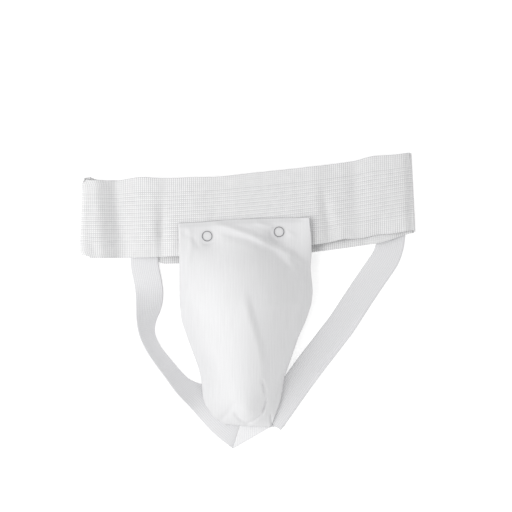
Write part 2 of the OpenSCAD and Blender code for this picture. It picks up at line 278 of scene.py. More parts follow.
def tumbledMetal(name, colour, roughness):
    material, tree, shader = newMaterial(name, colour, Metallic=1.0, Roughness=roughness)
    place = addNode(tree, "ShaderNodeTexCoord")
    scratch = addNode(tree, "ShaderNodeTexNoise", {
        "Vector": place.outputs["Object"], "Scale": nickelLook["scratches"], "Detail": 6.0})
    addNode(tree, "ShaderNodeMapRange", {
        "Value": scratch.outputs[0], "From Min": 0.3, "From Max": 0.7,
        "To Min": roughness - 0.06, "To Max": roughness + 0.1}, {0: shader.inputs["Roughness"]})
    addNode(tree, "ShaderNodeBump", {
        "Height": scratch.outputs[0], "Distance": nickelLook["relief"] * 0.001, "Strength": 0.4},
        {0: shader.inputs["Normal"]})
    return material


elastic = wovenElastic()
knit = warpKnit()
strapElastic = cordedElastic("cordedElastic", strapLook["light"], strapLook["dark"])
# painted light: a lighter copy of the strap elastic, for the tail facets
paintedLitElastic = cordedElastic("paintedLitElastic", strapLook["paintedLitLight"], strapLook["paintedLitDark"])
tricot = brushedTricot()
tape = slantedPolyester("twillTape", tapeLook)
thread = slantedPolyester("spunThread", threadLook)
polyethylene = mouldedPolyethylene()
rubber = mouldedRubber()
nickel = tumbledMetal("tumbledNickel", nickelLook["colour"], nickelLook["rough"])
# painted shade: a darker copy of the nickel, for the prong rings
darkNickel = tumbledMetal("darkNickel", nickelLook["darkColour"], nickelLook["darkRough"])
print("materials made")


def soften(line, rounds):
    for _ in range(rounds):
        line[1:-1] = 0.25 * line[:-2] + 0.5 * line[1:-1] + 0.25 * line[2:]
    return line


def smoothLine(points, count, rounds):
    # evenly spaced points on a softened line through the given ones
    points = np.array(points, float)
    steps = np.linalg.norm(np.diff(points[:, :2], axis=0), axis=1)
    reach = np.concatenate([[0], np.cumsum(np.maximum(steps, 1e-6))])
    at = np.linspace(0, reach[-1], count)
    line = np.stack([np.interp(at, reach, points[:, k]) for k in range(points.shape[1])], 1)
    return soften(line, rounds)


def lengthsAlong(line):
    return np.concatenate([[0], np.cumsum(np.linalg.norm(np.diff(line, axis=0), axis=1))])


def gridUvs(along, across):
    return np.stack(np.broadcast_arrays(along[:, None], across[None]), 2)


def makeMesh(name, points, faces, uvs, material, body=None):
    mesh = bpy.data.meshes.new(name)
    mesh.from_pydata((np.asarray(points).reshape(-1, 3) * 0.001).tolist(), [], faces)
    layer = mesh.uv_layers.new(name="UVMap")
    corners = np.zeros(len(mesh.loops), np.int32)
    mesh.loops.foreach_get("vertex_index", corners)
    layer.data.foreach_set("uv", (np.asarray(uvs).reshape(-1, 2)[corners] * 0.001).astype(np.float32).ravel())
    mesh.polygons.foreach_set("use_smooth", [True] * len(mesh.polygons))
    mesh.materials.append(material)
    piece = bpy.data.objects.new(name, mesh)
    scene.collection.objects.link(piece)
    if body:
        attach(piece, body)
    return piece


def gridFaces(rows, cols, closedRows=False, closedCols=False):
    faces = []
    for i in range(rows if closedRows else rows - 1):
        for j in range(cols if closedCols else cols - 1):
            m, n = (i + 1) % rows, (j + 1) % cols
            faces.append((i * cols + j, i * cols + n, m * cols + n, m * cols + j))
    return faces


def thicken(piece, thickness, offset):
    solid = piece.modifiers.new("thickness", "SOLIDIFY")
    solid.thickness = thickness * 0.001
    solid.offset = offset
    solid.use_even_offset = True
    return piece


def applyModifiers(piece):
    bpy.context.view_layer.objects.active = piece
    for modifier in list(piece.modifiers):
        bpy.ops.object.modifier_apply(modifier=modifier.name)


def smoothStep(value, low, high):
    t = np.clip((value - low) / (high - low), 0, 1)
    return t * t * (3 - 2 * t)


def hump(value, centre, width):
    return np.exp(-((value - centre) / width) ** 2)


def besideLine(x, y, line):
    # distance to a line of points, its side (positive on the right going down), and how far along
    best = np.full(x.shape, 1e9)
    side = np.zeros(x.shape)
    share = np.zeros(x.shape)
    line = np.array(line, float)
    for i in range(len(line) - 1):
        ax, ay = line[i]
        dx, dy = line[i + 1] - line[i]
        t = np.clip(((x - ax) * dx + (y - ay) * dy) / (dx * dx + dy * dy), 0, 1)
        gap = np.hypot(x - ax - t * dx, y - ay - t * dy)
        nearer = gap < best
        best = np.where(nearer, gap, best)
        side = np.where(nearer, np.sign((y - ay) * dx - (x - ax) * dy), side)
        share = np.where(nearer, (i + t) / (len(line) - 1), share)
    return best, side * best, share


def sweep(name, line, wide, high, material, body, sides=12, closed=False):
    # a soft flattened tube along a line, wide across and high upwards
    line = np.array(line, float)
    if closed:
        ahead, behind = np.roll(line, -1, 0), np.roll(line, 1, 0)
    else:
        ahead, behind = np.vstack([line[1:], line[-1:]]), np.vstack([line[:1], line[:-1]])
    run = ahead - behind
    run /= np.maximum(np.linalg.norm(run, axis=1, keepdims=True), 1e-9)
    out = np.stack([-run[:, 1], run[:, 0], np.zeros(len(line))], 1)
    out /= np.maximum(np.linalg.norm(out, axis=1, keepdims=True), 1e-9)
    up = np.cross(run, out)
    turn = np.arange(sides) * 2 * math.pi / sides
    squareness = 0.7                                       # 1 is an ellipse, and less is boxier
    c = np.sign(np.cos(turn)) * np.abs(np.cos(turn)) ** squareness
    s = np.sign(np.sin(turn)) * np.abs(np.sin(turn)) ** squareness
    rings = (line[:, None] + out[:, None] * (c * wide / 2)[None, :, None]
             + up[:, None] * (s * high / 2)[None, :, None])
    faces = gridFaces(len(line), sides, closed, True)
    if not closed:
        faces.append(tuple(range(sides)))
        faces.append(tuple(range(len(line) * sides - 1, (len(line) - 1) * sides - 1, -1)))
    uvs = gridUvs(lengthsAlong(line), turn * wide / 4)
    return makeMesh(name, rings, faces, uvs, material, body)


# sewing thread, and the zigzag rows across the tacks
sewing = {"radius": 0.22, "seamRadius": 0.24, "sides": 6, "parts": 7, "tackShares": (0.2, 0.5, 0.8),
          "tailShares": (0.55, 0.95), "tailShift": 1.2, "pitch": 1.1, "widePitch": 1.6}


def stitches(name, pairs, radius):
    # one short arch of thread for each pair of points, its ends pulled into the cloth
    points, faces, uvs = [], [], []
    sides, parts = sewing["sides"], sewing["parts"]
    upward = np.array([0, 0, 1])
    for start, end in pairs:
        start, end = np.array(start, float), np.array(end, float)
        long = np.linalg.norm(end - start)
        out = np.cross((end - start) / long, upward)
        first = len(points)
        for i in range(parts):
            t = i / (parts - 1)
            arch = math.sin(math.pi * t) ** 0.5
            middle = start + (end - start) * t + np.array([0, 0, (arch - 0.6) * radius * 1.6])
            thin = radius * (0.55 + 0.45 * arch)
            for k in range(sides):
                a = 2 * math.pi * k / sides
                points.append(middle + thin * (out * math.cos(a) + upward * math.sin(a)))
                uvs.append((t * long, a * radius))
        for i in range(parts - 1):
            for k in range(sides):
                m = (k + 1) % sides
                low = first + i * sides
                faces.append((low + k, low + m, low + sides + m, low + sides + k))
        faces.append(tuple(first + k for k in range(sides - 1, -1, -1)))
        faces.append(tuple(first + (parts - 1) * sides + k for k in range(sides)))
    return makeMesh(name, points, faces, uvs, thread, "guard")


def pointAt(line, reach, distance):
    return [np.interp(distance, reach, line[:, k]) for k in range(3)]


def runningStitches(line, stitch, space):
    reach = lengthsAlong(line)
    starts = np.arange(space, reach[-1] - stitch, stitch + space)
    return [(pointAt(line, reach, s), pointAt(line, reach, s + stitch)) for s in starts]


def zigzag(start, end, wide, pitch):
    start, end = np.array(start, float), np.array(end, float)
    run = end - start
    count = max(2, int(np.linalg.norm(run) / pitch))
    out = np.array([-run[1], run[0], 0]) / np.linalg.norm(run[:2]) * wide / 2
    corners = [start + run * i / count + out * (1 if i % 2 else -1) for i in range(count + 1)]
    return list(zip(corners[:-1], corners[1:]))


# the waistband: one closed loop of wide elastic, lying flat in two runs
waistLoop = {
    "width": 70, "thickness": 1.7, "backDrop": 6.5, "backRise": 1.6, "leftRadius": 5.2, "rightRadius": 1.9,
    "rightSlant": 1.75, "frontCols": 330, "backCols": 150, "foldCols": 18, "rows": 72,
    # the left end leans this much, and its top and bottom corners are rounded this much
    "endLean": 1.3, "topCorner": 1.8, "bottomCorner": 1.6,
    # where the front run comes down to the right fold, and how far the back run's lower edge is lifted
    "closing": (139.5, 148.0), "backLift": 1.2, "rightLift": 3.2,
    # how far the back run's edge stands up and out of the loop's mouth
    "mouthUp": 2.8, "mouthOut": 9.4,
    # rise and fall of the front run: place, height above its flat middle
    "waves": [(-150, -1.0), (-144, 0.4), (-132, 1.6), (-125, -3.0), (-117, -8.2), (-108, -5.8), (-92, -1.6),
              (-84, -0.6), (-73, -1.8), (-64, -1.2), (-50, 0), (52, 0), (63, 0.8), (69, 0), (76, -1.6),
              (86, -1.4), (97, -2.6), (110, -0.9), (122, 0), (134, 0.4), (141, 0.2), (150, -3.6)],
    # creases of the front run: place at its lower edge, lean towards the top edge, half width, depth, and
    # where they are deepest across the band
    "creases": [(-77, 2, 5, -4.0, -0.5), (74, -7, 6, -3.2, -0.1), (83, -16, 6, 1.6, -0.1),
                (-108, -8, 7, -1.8, -0.4), (100, -4, 8, -1.4, 0.3), (-30, 3, 9, -0.8, 0.5)],
    # how far the front run's lower edge dips towards the back run: place, depth
    "dip": [(-150, 0), (-138, 2.5), (-122, 1.0), (-104, 1.6), (-86, 4.2), (-76, 1.5), (-66, 0.2), (60, 0.2),
            (72, 3.0), (84, 1.5), (100, 3.0), (120, 5.0), (138, 3.0), (150, 0)],
    # small wanders of the top edge and the bottom edge: place, half width, amount
    "topEdge": [(-95, 14, 2.0), (112, 12, 2.0), (-25, 20, -1.0), (-120, 8, -0.6)],
    "bottomEdge": [(-147, 7, 2.8), (-118, 7, 1.0), (86, 9, 1.6), (117, 8, 1.2)],
}
bandLow, bandHigh = boxOf("waistband")


def bandMiddle(x):
    return 79.4 + 0.085 * x + 0.0003 * x * x


def makeWaistband():
    d = waistLoop
    half, rise = d["thickness"] / 2, d["backRise"]
    topZ, lowZ = bandHigh[2] - half, bandLow[2] + half
    leftX = bandLow[0] + d["leftRadius"] + half
    rightX = bandHigh[0] - d["rightRadius"] - half
    rightLow = lowZ + rise
    rightHigh = rightLow + 2 * d["rightRadius"]
    across = np.linspace(-1, 1, d["rows"])
    slant = -d["rightSlant"] * across
    roundEnd = (d["endLean"] * across + d["topCorner"] * smoothStep(across, 0.82, 1.0)
                + d["bottomCorner"] * smoothStep(-across, 0.85, 1.0))
    waves, dips = smoothLine(d["waves"], 301, 12), np.array(d["dip"], float)
    parts = (("front", d["frontCols"]), ("right", d["foldCols"]), ("back", d["backCols"]),
             ("left", d["foldCols"]))
    columns = []
    for part, t in [(part, i / count) for part, count in parts for i in range(count)]:
        drop = gape = 0.0
        if part == "front":
            x = leftX + (rightX - leftX) * t + slant * smoothStep(t, 0.9, 1.0)
            x = x + roundEnd * (1 - smoothStep(t, 0.0, 0.08))
            flat = np.clip((x - leftX) / 8, 0, 1)
            z = topZ + np.interp(x + 2 * across, waves[:, 0], waves[:, 1]) * flat
            z = z - np.interp(x, dips[:, 0], dips[:, 1]) * smoothStep(-across, 0.2, 1.0) * flat
            for place, lean, wide, depth, deepest in d["creases"]:
                z = z + depth * hump(x, place + lean * (across + 1) / 2, wide) * hump(across, deepest, 0.75)
            z = z + (rightHigh - z) * smoothStep(x, *d["closing"])
        elif part == "right":
            a = math.pi * (0.5 - t)
            x = rightX + slant + d["rightRadius"] * math.cos(a)
            z = (rightLow + rightHigh) / 2 + d["rightRadius"] * math.sin(a)
            drop = 0.4 * t
        elif part == "back":
            x = rightX + (leftX - rightX) * t + slant * (1 - smoothStep(t, 0.0, 0.1))
            x = x + roundEnd * smoothStep(t, 0.9, 1.0)
            right = smoothStep(x, 60, 72) - 0.5 * smoothStep(x, 100, 110) - 0.5 * smoothStep(x, 126, 142)
            lifted = d["backLift"] * smoothStep(x, -76, -68) + d["rightLift"] * right
            z = lowZ + rise * smoothStep(x, 104, 112) + lifted * smoothStep(-across, 0.5, 1.0)
            drop = smoothStep(x, -88, -74) * (1 - 0.6 * smoothStep(x, 118, 146))
            gape = 1 - smoothStep(x, -143, -131)
        else:
            a = math.pi * (1.5 - t)
            x = leftX + d["leftRadius"] * math.cos(a) + roundEnd
            z = (topZ + lowZ) / 2 + (topZ - lowZ) / 2 * math.sin(a)
            gape = 1 - t
        y = bandMiddle(x) + across * d["width"] / 2 - d["backDrop"] * drop
        # the loop's mouth stands open at its top left, so the back run shows above the front run
        upper, lower = np.clip(across, 0, 1), np.clip(-across, 0, 1)
        y = y + d["mouthUp"] * gape * upper ** 2
        z = z + d["mouthOut"] * gape * upper ** 3 * np.clip((topZ - 1 - z) / 5, 0, 1)
        if part in ("front", "left"):
            for edge, share in (("topEdge", upper), ("bottomEdge", lower)):
                for place, wide, amount in d[edge]:
                    y = y + amount * hump(x, place, wide) * share ** 2
        columns.append(np.stack(np.broadcast_arrays(x, y, z), 1))
    # the loop's first column is repeated at the end, so that the weave doesn't run backwards there
    points = np.array(columns + columns[:1])
    uvs = gridUvs(lengthsAlong(points[:, d["rows"] // 2]), across * d["width"] / 2)
    faces = [f[::-1] for f in gridFaces(len(points), d["rows"])]
    piece = makeMesh("waistband_elastic", points, faces, uvs, elastic)
    bm = bmesh.new()
    bm.from_mesh(piece.data)
    bmesh.ops.remove_doubles(bm, verts=bm.verts, dist=1e-6)
    bm.to_mesh(piece.data)
    bm.free()
    thicken(piece, d["thickness"], 0)
    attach(piece, "guard")
    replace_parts(piece, "waistband")
    return piece


waistband = makeWaistband()
print("waistband made")


# the slope that the pouch lies on, from the back panel's own place
slope = {"tilt": 3.4, "foot": -110.0, "base": boxOf("pouch_back_panel")[0][2]}


def onSlope(points):
    points = np.array(points, float)
    t = math.radians(slope["tilt"])
    y, z = points[..., 1] - slope["foot"], points[..., 2]
    return np.stack([points[..., 0], slope["foot"] + y * math.cos(t) - z * math.sin(t),
                     slope["base"] + y * math.sin(t) + z * math.cos(t)], -1)


# the moulded cup, and the shape that the cloth is pulled over
cup = {"half": 50.0, "up": 50.0, "down": 103.0, "depth": 46.0, "taper": 0.5, "wall": 2.4,
       "base": 2.65, "power": 0.62, "rings": 44, "spokes": 128,
       "ventWide": 6.0, "ventAcross": 14.0, "ventDown": 16.0, "ventShift": 3.0}


def cupOutline(turn, grow):
    c, s = np.cos(turn), np.sin(turn)
    t = np.clip(-s, 0, 1)
    narrow = (1 - cup["taper"] * t) * np.sqrt(np.clip(1 - t ** 4, 0, 1))
    return np.where(s >= 0, (cup["half"] + grow) * c, (cup["half"] + grow) * np.sign(c) * narrow), \
        np.where(s >= 0, (cup["up"] + grow) * s, (cup["down"] + grow) * s)


def cupShare(x, y, grow):
    # 0 at the cup's crown, 1 at its foot
    half, up, down = cup["half"] + grow, cup["up"] + grow, cup["down"] + grow
    above = np.hypot(x / half, y / up)
    wide, deep = np.abs(x), np.maximum(np.abs(y), 1e-6)
    low, high = np.full(x.shape, 1e-9), np.ones(x.shape)
    for _ in range(40):
        t = (low + high) / 2
        ratio = half * (1 - cup["taper"] * t) * np.sqrt(1 - t ** 4) / (down * t)
        wider = ratio > wide / deep
        low, high = np.where(wider, t, low), np.where(wider, high, t)
    return np.where(y >= 0, above, deep / (down * (low + high) / 2))


def dome(x, y, grow, depth, base):
    share = np.clip(cupShare(x, y, grow), 0, 1)
    return base + depth * (1 - share ** 2) ** cup["power"]


# the pouch's front: one piece of knit stretched over the cup, cut to this outline
pouch = {
    "left": [(-61.5, 70), (-60.8, 50), (-60.6, 32), (-60.6, 1), (-58.8, -17), (-54, -31), (-49, -45),
             (-44, -58), (-41, -71), (-40, -84), (-38, -92), (-29, -105), (-20, -110)],
    "right": [(55, 75), (57, 57), (57.3, 46), (56.4, 30), (57.6, 18), (58.6, 10), (57.4, -2), (52.4, -17),
              (45.6, -32), (41, -46), (36.6, -58.5), (33, -68), (31.2, -80), (29.4, -90), (24.9, -102),
              (21, -112.5)],
    "top": [(-61.5, 70), (-40, 71), (-12, 73.5), (30, 74.6), (55, 75)],
    "bottom": [(-20, -110), (-4, -111.6), (9, -112.4), (21, -112.5)],
    "cols": 170, "rows": 250, "thickness": 0.8, "margin": 2.2, "air": 1.7, "edgeRounds": 30,
    # rounds of pulling tight and of smoothing, and how near the cloth may come to the cup
    "pullRounds": 1600, "quickRounds": 60, "smoothRounds": 12, "cupClear": 1.15,
    # how far round a press stud the cloth is held down, and where it is flat and where it rises
    "studHeld": 7, "studFlat": (5.4, 8.5),
    # the rounded toe: place, half size, height. And the flap's right corner standing off the band
    "toe": (0.6, -96, 9, 10, 2.6), "cornerLift": 2.2,
    # the curl of its top edge and its left edge: depth, how far in
    "topCurl": (2.8, 5.0), "sideCurl": (0.8, 2.2),
    # slack hollows below the flap's fold, and along the right side: place across and up, half widths,
    # lean, depth
    "hollows": [(18, 40, 14, 15, 0.5, 2.6), (38, 6, 12, 22, 0, 1.8)],
    # small random dents: half length, depth
    "seed": 7, "dentCount": 36, "dents": [(26, 0.25), (9, 0.1)],
    # folds of the slack cloth: line, depth, width, and a one-sided step where it is a ridge
    "folds": [
        ([(-36, 72), (-13, 66), (6, 59.5), (22, 51.5), (38, 43.5), (60, 27)], 1.9, 2.6, -1.3),
        ([(-30, 64), (0, 56), (24, 44), (44, 26)], -2.2, 3.6, 0.0),
        ([(-60, 63), (-48, 57), (-40, 45)], -0.7, 2.6, 0.0),
        ([(4, 72), (24, 66), (46, 58)], 1.1, 2.2, 0.0),
        ([(-52, 70), (-50, 50), (-54, 28)], 0.8, 2.6, 0.0),
        ([(34, 44), (44, 30), (50, 12)], 1.2, 3.0, -0.8),
        ([(-3, 20), (3.3, -8), (11.4, -35), (15, -53), (15.9, -86)], 1.7, 4.6, -1.7),
        ([(12.4, -62), (15.9, -78), (16.2, -88), (12.6, -104)], -3.0, 1.3, 0.0),
        ([(-30, -112), (-18, -101), (-10, -86)], -0.9, 2.6, 0.0),
        ([(-13, -97), (-4.8, -106), (3, -110)], -2.2, 2.2, 0.0),
        ([(0, -110), (7, -104.5), (14, -99)], -2.0, 1.8, 0.0),
        ([(22.5, -116), (20.5, -98)], -1.4, 1.0, 0.0),
        ([(24, -60), (27, -75), (24, -92)], -1.0, 2.2, 0.0),
        ([(-50, -20), (-40, -50), (-33, -74)], 0.5, 3.5, 0.0),
        ([(48, 30), (50, 12), (46, -10)], -0.6, 3.0, 0.0),
    ],
}


def pouchGrid(cols, rows):
    u, t = np.linspace(0, 1, cols), np.linspace(0, 1, rows)
    left, right, top, bottom = [np.array(pouch[edge]) for edge in ("left", "right", "top", "bottom")]
    topY, bottomY = [np.interp(u, (edge[:, 0] - edge[0, 0]) / (edge[-1, 0] - edge[0, 0]), edge[:, 1])
                     for edge in (top, bottom)]
    y = topY[None] * (1 - t[:, None]) + bottomY[None] * t[:, None]
    leftX = soften(np.interp(-y[:, 0], -left[:, 1], left[:, 0]), pouch["edgeRounds"])
    rightX = soften(np.interp(-y[:, -1], -right[:, 1], right[:, 0]), pouch["edgeRounds"])
    x = leftX[:, None] * (1 - u[None]) + rightX[:, None] * u[None]
    return x, y


def neighbourMean(height):
    return 0.25 * (height[:-2, 1:-1] + height[2:, 1:-1] + height[1:-1, :-2] + height[1:-1, 2:])


def stretchOver(under, held, rounds):
    # a membrane pulled tight over the cup, held down where the press studs are
    height = under.copy()
    for _ in range(rounds):
        height[1:-1, 1:-1] = np.maximum(under[1:-1, 1:-1], neighbourMean(height))
        height[held] = pouch["margin"]
    for _ in range(pouch["smoothRounds"]):
        height[1:-1, 1:-1] = neighbourMean(height)
    return height


def sculptFolds(x, y, z):
    for line, depth, wide, step in pouch["folds"]:
        gap, side, share = besideLine(x, y, line)
        fade = smoothStep(share, 0.0, 0.2) * (1 - smoothStep(share, 0.8, 1.0))
        z = z + depth * hump(gap, 0, wide) * fade
        if step:
            z = z + step * np.tanh(side / wide) * hump(gap, 0, wide * 3) * fade
    return z


def randomDents(x, y):
    rng = np.random.default_rng(pouch["seed"])
    dents = np.zeros(x.shape)
    for wide, amount in pouch["dents"]:
        for _ in range(pouch["dentCount"]):
            cx, cy = rng.uniform(-60, 60), rng.uniform(-110, 75)
            turn = rng.uniform(0, math.pi)
            a = (x - cx) * math.cos(turn) + (y - cy) * math.sin(turn)
            b = -(x - cx) * math.sin(turn) + (y - cy) * math.cos(turn)
            dents += amount * rng.choice([-1, 1]) * np.exp(-(a / wide) ** 2 - (b / wide * 2.5) ** 2)
    return dents


def makePouchFront():
    d = pouch
    x, y = pouchGrid(d["cols"], d["rows"])
    under = dome(x, y, 2.0, cup["depth"] + d["air"], d["margin"])
    fromRing = np.full(x.shape, 1e9)
    for node in ("snap_ring_left", "snap_ring_right"):
        low, high = boxOf(node)
        fromRing = np.minimum(fromRing, np.hypot(x - (low[0] + high[0]) / 2, y - (low[1] + high[1]) / 2))
    z = stretchOver(under, fromRing < d["studHeld"], d["pullRounds"])
    z = sculptFolds(x, y, z)
    toeX, toeY, toeWide, toeLong, toeHigh = d["toe"]
    z = z + toeHigh * np.exp(-((x - toeX) / toeWide) ** 2 - ((y - toeY) / toeLong) ** 2)
    z = z + d["cornerLift"] * smoothStep(x, 42, 56) * smoothStep(y, 30, 48)
    curl, reach = d["topCurl"]
    z = z - curl * (1 - smoothStep(y[:1] - y, 0, reach)) * (1 - 0.8 * smoothStep(x, 46, 56))
    curl, reach = d["sideCurl"]
    z = z - curl * (1 - smoothStep(x - x[:, :1], 0, reach)) * smoothStep(y, 20, 40)
    for placeX, placeY, wide, long, lean, depth in d["hollows"]:
        z = z - depth * hump(x - lean * (y - placeY), placeX, wide) * hump(y, placeY, long)
    flat = 1 - smoothStep(fromRing, *d["studFlat"])
    z = z * (1 - flat) + d["margin"] * flat
    z = z + randomDents(x, y) * smoothStep(z, 2.6, 8)
    # the cloth stays clear of the cup wherever a fold dips
    clear = z - dome(x, y, 0.0, cup["depth"], cup["base"]) - d["cupClear"]
    z = z + np.where(cupShare(x, y, 0.0) < 1, 0.5 * (np.sqrt(clear ** 2 + 0.3) - clear), 0)
    points = onSlope(np.stack([x, y, z], -1))
    faces = [f[::-1] for f in gridFaces(d["rows"], d["cols"])]
    piece = makeMesh("pouch_front_knit", points, faces, np.stack([x, y], -1), knit)
    thicken(piece, d["thickness"], -1)
    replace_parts(piece, "pouch_front_panel", "pouch_flap")
    return piece, points


pouchFront, frontPoints = makePouchFront()
print("pouch front made")


# the lining behind the cup. Its top edge is sewn to the waistband along a slanting line
linerShape = {"cols": 90, "rows": 130, "thickness": 0.7, "inset": 0.985, "lift": 0.55, "ruffle": 0.25,
              "topEdge": 50, "topSlope": 0.067}


def makeLiner():
    d = linerShape
    x, y = pouchGrid(d["cols"], d["rows"])
    z = d["lift"] + d["ruffle"] * np.sin(x / 13) * np.sin(y / 21) * (1 - smoothStep(y, 47, 50))
    limit = d["topEdge"] + d["topSlope"] * x
    y = np.minimum(y, limit)
    start = max(0, int(np.argmax((y < limit - 0.2).all(axis=1))) - 1)
    x, y, z = x[start:], y[start:], z[start:]
    points = onSlope(np.stack([x * d["inset"], y, z], -1))
    faces = [f[::-1] for f in gridFaces(len(x), d["cols"])]
    piece = makeMesh("pouch_liner", points, faces, np.stack([x, y], -1), tricot, "guard")
    thicken(piece, d["thickness"], 0)
    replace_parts(piece, "pouch_back_panel")
    return piece


liner = makeLiner()


# folded tape round the pouch's two sides and its bottom
binding = {"wide": 2.0, "high": 2.0, "top": 47, "sideIn": 1.3, "bottomIn": 1.2, "under": 1.6}


def makeTape(name, line, node):
    line[:, 2] -= binding["under"]
    piece = sweep(name, line, binding["wide"], binding["high"], tape, "guard")
    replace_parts(piece, node)


def makeBindings():
    for name, column, inward in (("left", 0, 1), ("right", -1, -1)):
        edge = frontPoints[:, column]
        line = smoothLine(edge[edge[:, 1] < binding["top"]], 150, 8)
        line[:, 0] += binding["sideIn"] * inward
        makeTape(f"side_tape_{name}", line, f"side_binding_{name}")
    line = smoothLine(frontPoints[-1], 60, 8)
    line[:, 1] += binding["bottomIn"]
    makeTape("bottom_tape", line, "bottom_binding")


makeBindings()
print("liner and tapes made")


# leg straps: along the outer edge x, y, height of the lower edge, and the roll that lifts the outer one
straps = {
    "width": 25.0, "thickness": 1.3, "across": 22, "along": 190, "rounds": 34, "belly": 0.5,
    # the left one's end narrows to a point over this length, and the right one's edge puckers
    "tip": 10, "pucker": 3.4,
    "left": [(-105, 58, 2, 0), (-105, 44, 2, 0), (-105, 30, 2, 0), (-103, 22, 0.8, 0), (-101, 12, 0.1, 0),
             (-99.5, -2, 0.1, 22), (-99, -17, 0.1, 48), (-96, -31, 0.1, 63), (-89, -45, 0.1, 66),
             (-80, -58, 0.1, 64), (-73, -67, 0.1, 62), (-67, -76, 0.1, 59), (-60, -85, 0.1, 50),
             (-53, -93, 0.2, 18), (-45, -103, 1.2, 1), (-36, -113, 1.6, 0), (-27, -122, 1.4, 0),
             (-12.9, -132.7, 0.9, 0)],
    "right": [(142, 76, 0.1, 0), (142, 60, 0.1, 0), (141, 48, 0.1, 0), (136, 33, 0.1, 0), (122, 13, 0.1, 0),
              (108, -8, 0.1, 0), (95, -28, 0.1, 0), (82, -45, 0.1, 0), (65, -67, 0.1, 0), (50, -88, 0.8, 0),
              (38, -105, 1.6, 0), (30, -116, 1.6, 0)],
}


def makeStrap(name, side):
    d = straps
    route = smoothLine(d[name], d["along"], d["rounds"])
    run = np.gradient(route[:, :2], axis=0)
    run /= np.linalg.norm(run, axis=1, keepdims=True)
    upward = np.array([0, 0, 1])
    out = np.stack([-run[:, 1], run[:, 0], np.zeros(len(run))], 1) * side
    roll = np.radians(route[:, 3])[:, None]
    across = out * np.cos(roll) - upward * np.sin(roll)
    up = upward * np.cos(roll) + out * np.sin(roll)
    route[:, 2] += d["width"] * np.sin(roll[:, 0])
    s = np.linspace(0, 1, d["across"])
    reach = lengthsAlong(route[:, :2])
    share = reach / reach[-1]
    belly = d["belly"] * np.sin(np.pi * s)[None] * np.sin(np.pi * share)[:, None]
    wide = d["width"] * np.ones(len(route))
    if name == "right":
        puckered = smoothStep(share, 0.38, 0.5) * (1 - smoothStep(share, 0.72, 0.82))
        belly = belly + d["pucker"] * hump(s, 0.02, 0.1)[None] * puckered[:, None]
    else:
        tipShare = 1 - d["tip"] / reach[-1]
        wide = wide * (1 - np.clip((share - tipShare) / (1 - tipShare), 0, 0.98))
    points = (route[:, None, :3] + across[:, None] * (s[None] * wide[:, None])[..., None]
              + up[:, None] * (d["thickness"] / 2 + belly)[:, :, None])
    faces = gridFaces(len(route), len(s))
    if side < 0:
        faces = [f[::-1] for f in faces]
    piece = makeMesh(f"leg_elastic_{name}", points, faces, gridUvs(reach, s * d["width"]), strapElastic,
                     "guard")
    thicken(piece, d["thickness"], 0)
    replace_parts(piece, f"leg_strap_{name}")
    return piece


leftStrap = makeStrap("left", 1)
rightStrap = makeStrap("right", -1)


# the straps' ends, folded to a point under the pouch: the corners and the arch of each patch
tail = {"thickness": 0.9, "cells": 26,
        "right": [(-4.6, -106, 2.5), (-13.0, -132.5, 2.0), (20.4, -113.6, 0.9), (22, -104, 0.9)],
        "rightArch": 0.2,
        "end": [(21, -104, 0.7), (20.2, -113.8, 0.6), (33.4, -112.8, 0.6), (32, -104, 0.7)],
        "endArch": 0.1}


def facet(name, corners, arch):
    # a four-cornered patch of elastic, slightly arched
    a, b, c, e = [np.array(p, float) for p in corners]
    steps = np.linspace(0, 1, tail["cells"])
    u, v = [grid[..., None] for grid in np.meshgrid(steps, steps, indexing="ij")]
    points = a * (1 - u) * (1 - v) + b * u * (1 - v) + c * u * v + e * (1 - u) * v
    points[..., 2] += arch * np.sin(np.pi * u[..., 0]) * np.sin(np.pi * v[..., 0])
    faces = gridFaces(tail["cells"], tail["cells"])
    # the facets take the lighter copy of the strap elastic, painted light
    piece = makeMesh(name, points, faces, points[..., 1::-1], paintedLitElastic, "guard")
    if np.cross(b - a, e - a)[2] < 0:
        piece.data.flip_normals()
    return thicken(piece, tail["thickness"], 0)


def makeTail():
    rightFacet = facet("tail_right_facet", tail["right"], tail["rightArch"])
    facet("tail_end_facet", tail["end"], tail["endArch"])
    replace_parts(rightFacet, "tail_gusset")


makeTail()
print("straps and tail made")


# rows of zigzag across each tack, along the waistband's lap, and along the seam of band and liner
def tackRows(node, shares, lift, wide, shift=0.0):
    low, high = boxOf(node)
    rows = []
    for share in shares:
        y = low[1] + (high[1] - low[1]) * share + shift
        rows += zigzag((low[0], y, low[2] + lift), (high[0], y, low[2] + lift), wide, sewing["pitch"])
    return rows


def makeStitches():
    d = sewing
    for side in ("left", "right"):
        rows = tackRows(f"strap_tack_{side}", d["tackShares"], 0.2, 1.6)
        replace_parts(stitches(f"tack_thread_{side}", rows, d["radius"]), f"strap_tack_{side}")
    rows = tackRows("tail_tack", d["tailShares"], 0.1, 1.2, d["tailShift"])
    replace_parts(stitches("tail_thread", rows, d["radius"]), "tail_tack")
    low, high = boxOf("waistband_lap_stitch")
    rows = []
    for x in (low[0] + 1.5, high[0] - 1.5):
        rows += zigzag((x, low[1], low[2] + 0.15), (x, high[1], low[2] + 0.15), 2.6, d["widePitch"])
    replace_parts(stitches("lap_thread", rows, d["radius"]), "waistband_lap_stitch")
    low, high = boxOf("pouch_band_stitch")
    rows = zigzag((low[0] + 1, low[1] + 1.4, low[2] + 0.4), (high[0] - 1, high[1] - 1.4, high[2] - 0.6), 1.8,
                  d["widePitch"])
    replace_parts(stitches("band_seam_thread", rows, d["seamRadius"]), "pouch_band_stitch")


makeStitches()


# the short seam at the toe
seam = {"line": [(13.5, -71), (15.9, -87), (13.2, -99)], "count": 40, "stitch": 2.2, "space": 0.7,
        "lift": 0.12, "smoothing": 7}


def frontHeight(x, y):
    # height of the pouch's front above a point
    gap = np.hypot(frontPoints[..., 0] - x, frontPoints[..., 1] - y)
    i, j = np.unravel_index(np.argmin(gap), gap.shape)
    return frontPoints[i, j, 2]


